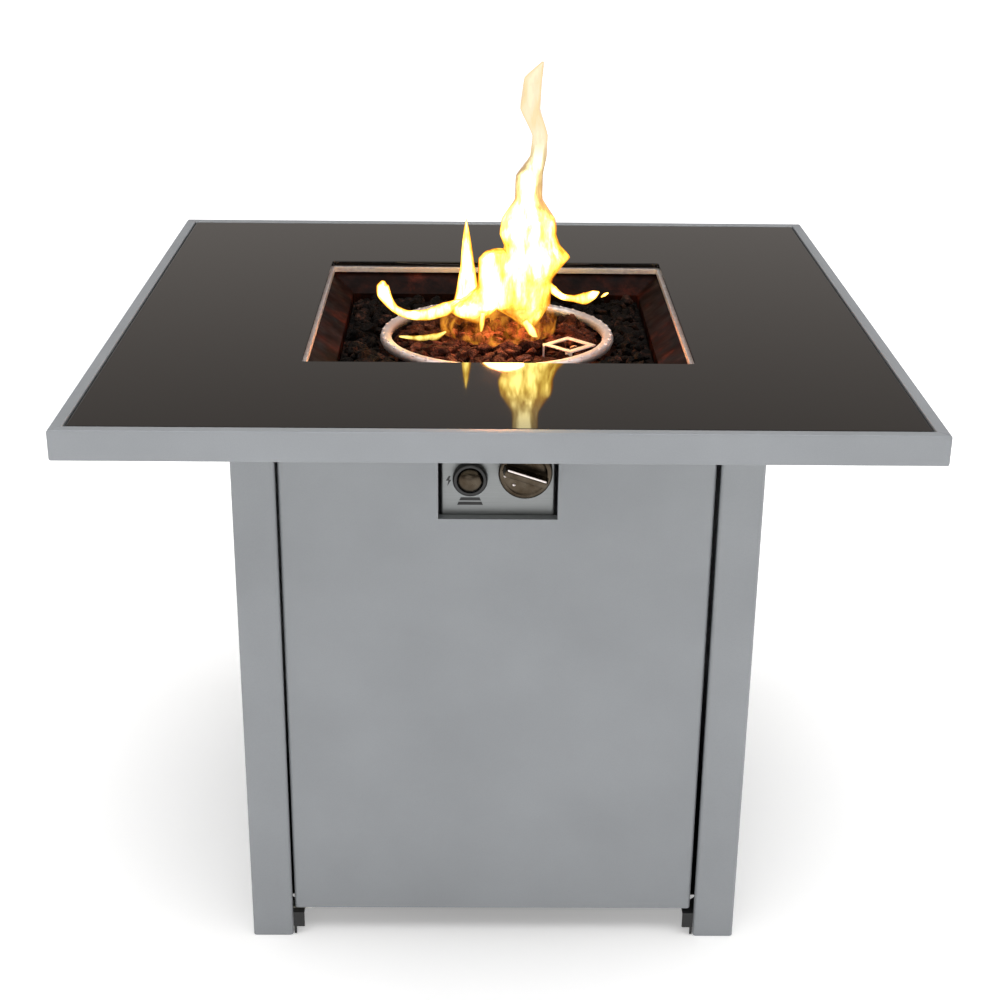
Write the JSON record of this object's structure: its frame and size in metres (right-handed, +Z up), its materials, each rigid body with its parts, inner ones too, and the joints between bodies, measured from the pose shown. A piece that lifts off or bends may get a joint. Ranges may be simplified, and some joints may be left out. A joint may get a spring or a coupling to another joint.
{
  "type": "gas fire pit table",
  "caption": "Square glass-topped fire pit table: ring burner in lava rock, grey sheet-steel base with a hinged door, gas and spark controls, and a bay for a gas cylinder.",
  "frame": {"origin": "on the floor, under the centre of the square table, feet screwed right in", "axes": "+Z up; -Y towards the front with the door and the controls; +X to the right of someone facing the front"},
  "size_m": [0.813, 0.813, 0.647],
  "materials": {
    "grey_paint": "satin",
    "black_glass": "polished",
    "black_paint": "satin",
    "stainless": "polished",
    "satin_steel": "satin",
    "chrome": "polished",
    "heat_tinted_steel": "satin",
    "zinc_plate": "satin",
    "brass": "satin",
    "aluminium": "satin",
    "rubber": "matte",
    "black_plastic": "satin",
    "ceramic": "satin",
    "lava_rock": "matte"
  },
  "bodies": {
    "base": {"rim_rail_front": "grey_paint", "rim_rail_right": "grey_paint", "rim_rail_back": "grey_paint", "rim_rail_left": "grey_paint", "tabletop_glass": "black_glass", "glass_gasket": "rubber", "top_deck": "zinc_plate", "opening_trim": "stainless", "burner_pan": "heat_tinted_steel", "burner_ring": "stainless", "burner_lock_nut": "brass", "burner_mixer": "brass", "orifice_fitting": "brass", "lava_rock_bed": "lava_rock", "spark_electrode": "ceramic", "spark_bracket": "stainless", "heat_shield": "zinc_plate", "shield_standoff_1": "zinc_plate", "shield_standoff_2": "zinc_plate", "shield_standoff_3": "zinc_plate", "shield_standoff_4": "zinc_plate", "control_plate": "satin_steel", "gas_valve": "brass", "gas_inlet": "brass", "igniter_bezel": "black_plastic", "igniter_housing": "black_plastic", "igniter_spring": "stainless", "igniter_lead": "rubber", "gas_tube": "aluminium", "leg_front_left": "grey_paint", "foot_bracket_front_left": "black_paint", "leg_front_right": "grey_paint", "foot_bracket_front_right": "black_paint", "leg_back_right": "grey_paint", "foot_bracket_back_right": "black_paint", "leg_back_left": "grey_paint", "foot_bracket_back_left": "black_paint", "panel_right": "grey_paint", "panel_left": "grey_paint", "panel_back": "grey_paint", "top_rail_front": "black_paint", "top_rail_back": "black_paint", "top_rail_right": "black_paint", "top_rail_left": "black_paint", "cylinder_tray": "black_paint", "cylinder_ring": "black_paint", "hinge_bracket_lower": "zinc_plate", "hinge_bracket_upper": "zinc_plate", "hinge_pin_lower": "zinc_plate", "hinge_pin_upper": "zinc_plate", "magnet_catch": "black_plastic"},
    "door": {"front_door": "grey_paint", "strike_plate": "zinc_plate"},
    "knob": {"control_knob": "chrome", "valve_stem": "zinc_plate"},
    "igniter_button": {"igniter_button": "chrome"},
    "foot_front_left": {"levelling_foot_front_left": "rubber"},
    "foot_front_right": {"levelling_foot_front_right": "rubber"},
    "foot_back_right": {"levelling_foot_back_right": "rubber"},
    "foot_back_left": {"levelling_foot_back_left": "rubber"}
  },
  "joints": [
    {"name": "door_swing", "type": "hinge", "parent": "base", "child": "door", "pos_m": [-0.2076, -0.254, 0.32], "axis": [0, 0, -1], "range_deg": [0, 110]},
    {"name": "knob_turn", "type": "hinge", "parent": "base", "child": "knob", "pos_m": [0.027, -0.251, 0.552], "axis": [0, -1, 0], "range_deg": [-162, 18]},
    {"name": "igniter_press", "type": "slide", "parent": "base", "child": "igniter_button", "axis": [0, 1, 0], "range_m": [0, 0.005], "stiffness_N_per_m": 800, "springref_m": -0.003, "deforming": ["igniter_spring"]},
    {"name": "foot_screw_front_left", "type": "slide", "parent": "base", "child": "foot_front_left", "axis": [0, 0, -1], "range_m": [0, 0.015]},
    {"name": "foot_screw_front_right", "type": "slide", "parent": "base", "child": "foot_front_right", "axis": [0, 0, -1], "range_m": [0, 0.015]},
    {"name": "foot_screw_back_right", "type": "slide", "parent": "base", "child": "foot_back_right", "axis": [0, 0, -1], "range_m": [0, 0.015]},
    {"name": "foot_screw_back_left", "type": "slide", "parent": "base", "child": "foot_back_left", "axis": [0, 0, -1], "range_m": [0, 0.015]}
  ]
}
